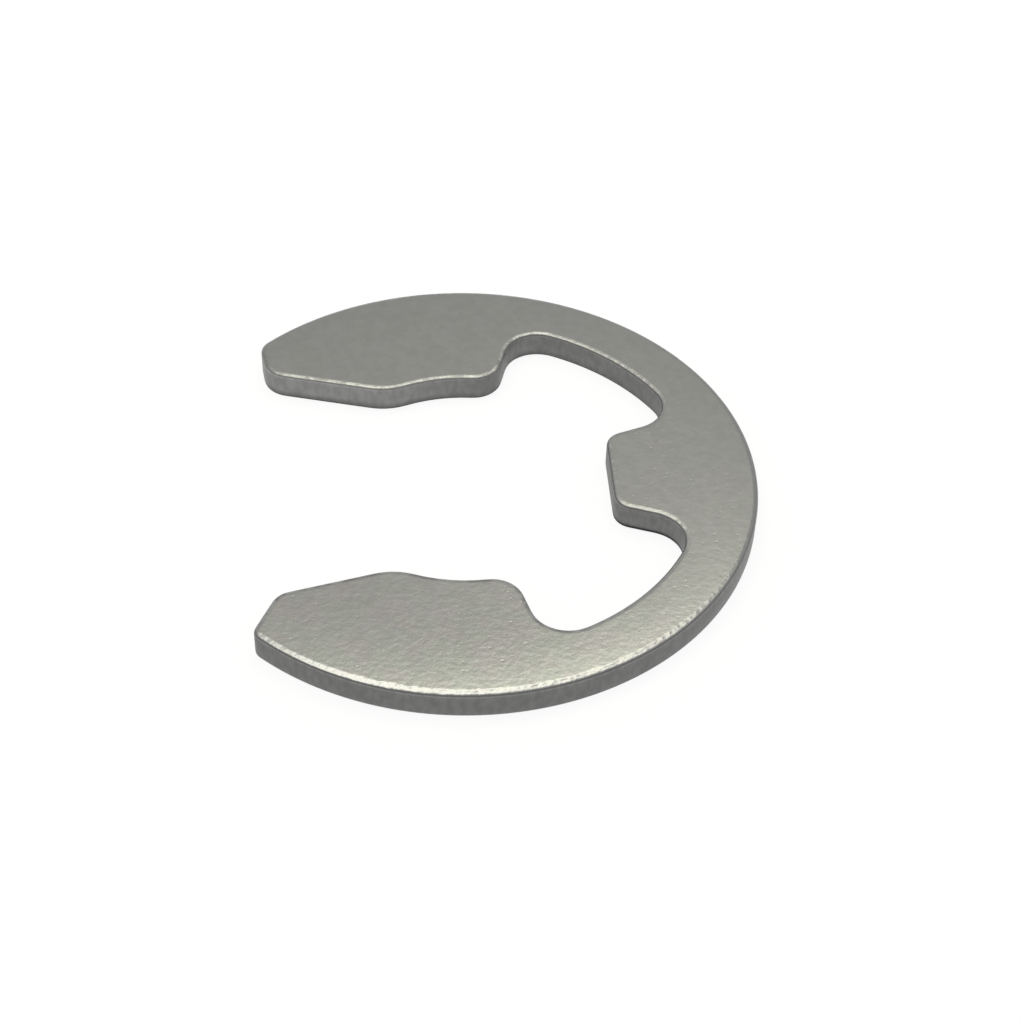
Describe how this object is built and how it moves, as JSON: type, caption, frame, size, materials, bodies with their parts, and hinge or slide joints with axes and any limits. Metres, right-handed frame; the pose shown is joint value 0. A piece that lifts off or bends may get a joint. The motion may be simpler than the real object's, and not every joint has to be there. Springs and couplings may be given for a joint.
{
  "type": "e clip",
  "caption": "Flat open retaining ring with inward lobes and a flared mouth, pushed sideways into a shaft or pin groove to hold what is on it",
  "frame": {"origin": "Centre of the circle that grips the groove, at half the strip's thickness", "axes": "+Z is the shaft's axis and the normal of the upper face, +X points at the middle lobe, and the mouth opens towards -X"},
  "size_m": [0.0204, 0.024, 0.0012],
  "materials": {
    "stainless_steel": "Tumbled stainless strip: satin grey faces with a fine speckle, edges rounded bright, sheared walls darker and faintly mottled"
  },
  "bodies": {
    "root": {"e_clip": "stainless_steel"}
  },
  "joints": []
}
